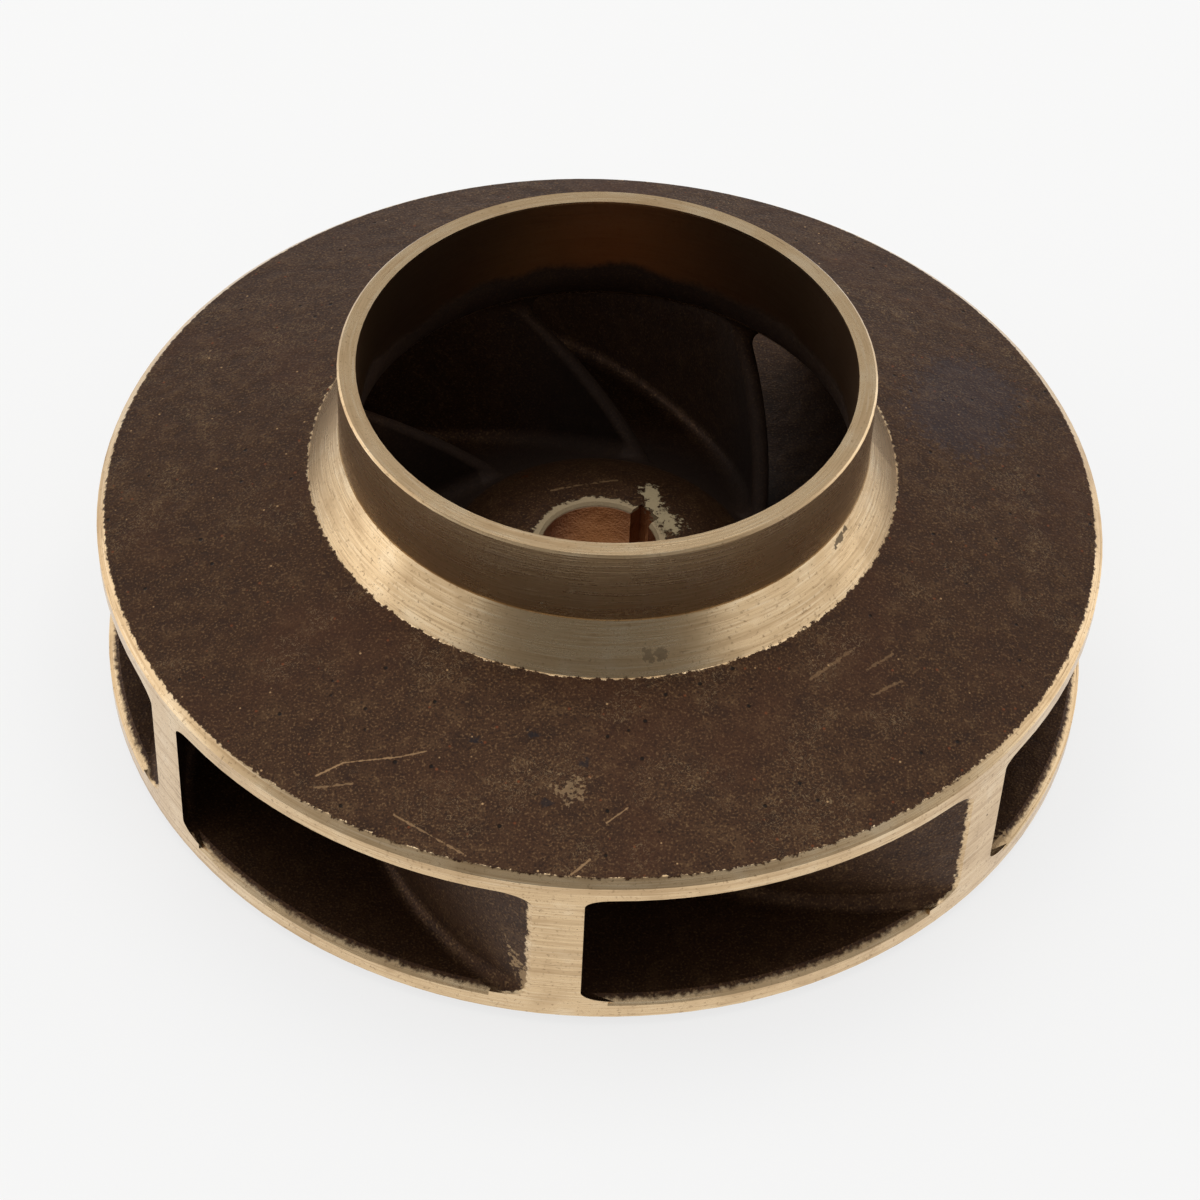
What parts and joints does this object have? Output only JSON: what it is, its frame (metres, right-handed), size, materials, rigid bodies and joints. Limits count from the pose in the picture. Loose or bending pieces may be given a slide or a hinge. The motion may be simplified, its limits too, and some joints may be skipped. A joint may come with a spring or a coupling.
{
  "type": "pump impeller",
  "caption": "Closed single-suction centrifugal pump impeller with backward-curved vanes between its shrouds, a turned wear ring round the eye and a keyed hub bore.",
  "frame": {"origin": "middle of the bore, on the rear face of the hub, which is the face it rests on", "axes": "+Z along the bore, out of the eye; a vane leaves the rim on the side towards -Y"},
  "size_m": [0.2414, 0.2412, 0.0926],
  "materials": {
    "cast_bronze": "as-cast brown bronze, with bright turned rims, ring and bore"
  },
  "bodies": {
    "root": {"impeller": "cast_bronze"}
  },
  "joints": []
}
